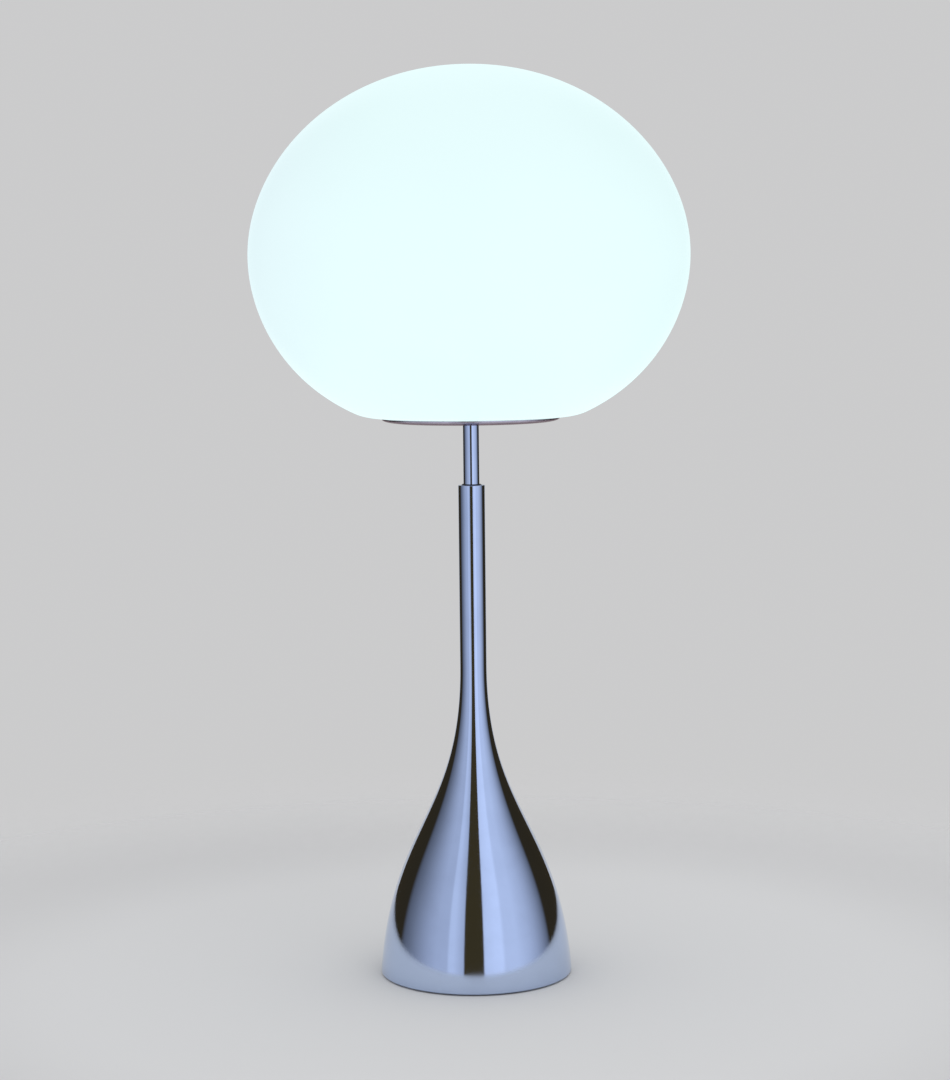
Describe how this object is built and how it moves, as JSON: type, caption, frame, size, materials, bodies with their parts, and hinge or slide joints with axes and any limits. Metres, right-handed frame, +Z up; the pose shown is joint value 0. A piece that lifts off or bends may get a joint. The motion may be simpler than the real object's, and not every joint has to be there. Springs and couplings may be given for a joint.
{
  "type": "table lamp",
  "caption": "Table lamp with a large opal glass globe that lifts off, a slim chromed stem, a trumpet-shaped weighted foot and a screw-in bulb.",
  "frame": {"origin": "middle of the felt underside, on the surface the lamp stands on", "axes": "+Z up along the stem, +Y towards the back, where the mains cord enters, +X to the right"},
  "size_m": [0.326, 0.326, 0.6775],
  "materials": {
    "chromed_metal": "polished",
    "saucer_metal": "satin",
    "opal_glass": "smooth opal",
    "cast_iron": "rough cast",
    "plated_steel": "zinc plated",
    "felt": "pressed felt",
    "black_plastic": "satin",
    "white_nylon": "matte",
    "brass": "plain",
    "brown_insulation": "satin",
    "blue_insulation": "satin",
    "green_yellow_insulation": "satin",
    "clear_silicone": "matte",
    "spring_steel": "bright",
    "rivet_aluminium": "plain",
    "black_moulding": "gloss",
    "porcelain": "glazed",
    "bulb_glass": "clear",
    "bulb_cap_metal": "satin",
    "black_glass": "gloss",
    "filament": "glowing",
    "frame_metal": "plain"
  },
  "bodies": {
    "stand": {"base_shell": "chromed_metal", "upper_tube": "chromed_metal", "shade_plate": "saucer_metal", "ballast_weight": "cast_iron", "ballast_washer": "plated_steel", "ballast_nut": "plated_steel", "base_plate": "plated_steel", "base_plate_screws": "plated_steel", "plate_washer": "plated_steel", "plate_nut": "plated_steel", "terminal_block_screws": "plated_steel", "threaded_tube": "plated_steel", "felt_pad": "felt", "neck_bush": "black_plastic", "inlet_bush": "black_plastic", "inlet_nut": "black_plastic", "terminal_block": "white_nylon", "terminal_inserts": "brass", "terminal_screws": "brass", "lampholder_terminals": "brass", "lampholder_shell": "brass", "centre_contact": "brass", "earth_ring_terminal": "brass", "earth_screw": "brass", "live_lead": "brown_insulation", "neutral_lead": "blue_insulation", "earth_lead": "green_yellow_insulation", "globe_gasket": "clear_silicone", "globe_clips": "spring_steel", "clip_rivets": "rivet_aluminium", "lampholder_cap": "black_moulding", "lampholder_body": "black_moulding", "lampholder_insert": "porcelain"},
    "globe": {"glass_globe": "opal_glass"},
    "bulb": {"bulb_envelope": "bulb_glass", "bulb_glass_mount": "bulb_glass", "bulb_cap": "bulb_cap_metal", "bulb_tip_contact": "bulb_cap_metal", "bulb_insulator": "black_glass", "bulb_filaments": "filament", "bulb_filament_frame": "frame_metal"}
  },
  "joints": [
    {"name": "globe_lift", "type": "slide", "parent": "stand", "child": "globe", "axis": [0, 0, 1], "range_m": [0, 0.155]},
    {"name": "bulb_unscrew", "type": "slide", "parent": "stand", "child": "bulb", "axis": [0, 0, 1], "range_m": [0, 0.03]}
  ]
}
